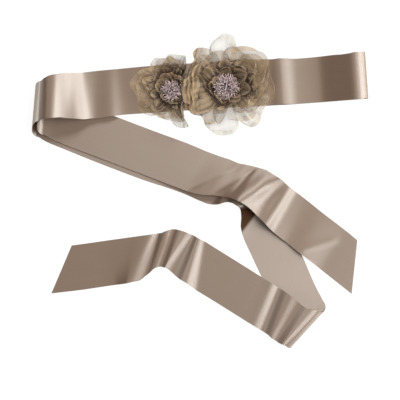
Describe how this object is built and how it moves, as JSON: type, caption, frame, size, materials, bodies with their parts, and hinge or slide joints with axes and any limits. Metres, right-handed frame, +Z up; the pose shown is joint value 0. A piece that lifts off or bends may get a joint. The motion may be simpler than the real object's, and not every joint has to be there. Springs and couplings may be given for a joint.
{
  "type": "organza sash",
  "caption": "Long satin ribbon sash laid flat in folds, its ends cut on the slant, with full-blown organza flowers and their clustered stamens on its front band.",
  "frame": {"origin": "middle of the footprint of the sash, on the surface that it lies on", "axes": "+X to the right along the front band, +Y towards the front band's far edge, +Z up from the surface"},
  "size_m": [0.4195, 0.3914, 0.0366],
  "materials": {
    "satin": "double-faced satin ribbon, taupe",
    "organza": "sheer organza, warm taupe",
    "stamens": "stiff mauve thread"
  },
  "bodies": {
    "root": {"left_tail": "satin", "middle_tail": "satin", "outer_run": "satin", "front_band": "satin", "back_band": "satin", "right_tail": "satin", "large_petal_01": "organza", "large_petal_02": "organza", "large_petal_03": "organza", "large_petal_04": "organza", "large_petal_05": "organza", "large_petal_06": "organza", "large_petal_07": "organza", "large_petal_08": "organza", "large_petal_09": "organza", "large_petal_10": "organza", "large_petal_11": "organza", "large_petal_12": "organza", "large_petal_13": "organza", "large_petal_14": "organza", "large_petal_15": "organza", "large_petal_16": "organza", "large_petal_17": "organza", "large_petal_18": "organza", "large_petal_19": "organza", "large_petal_20": "organza", "large_petal_21": "organza", "large_petal_22": "organza", "small_petal_01": "organza", "small_petal_02": "organza", "small_petal_03": "organza", "small_petal_04": "organza", "small_petal_05": "organza", "small_petal_06": "organza", "small_petal_07": "organza", "small_petal_08": "organza", "small_petal_09": "organza", "small_petal_10": "organza", "small_petal_11": "organza", "small_petal_12": "organza", "small_petal_13": "organza", "small_petal_14": "organza", "small_petal_15": "organza", "small_petal_16": "organza", "small_petal_17": "organza", "small_petal_18": "organza", "small_petal_19": "organza", "small_petal_20": "organza", "small_petal_21": "organza", "large_stamens": "stamens", "small_stamens": "stamens"}
  },
  "joints": []
}
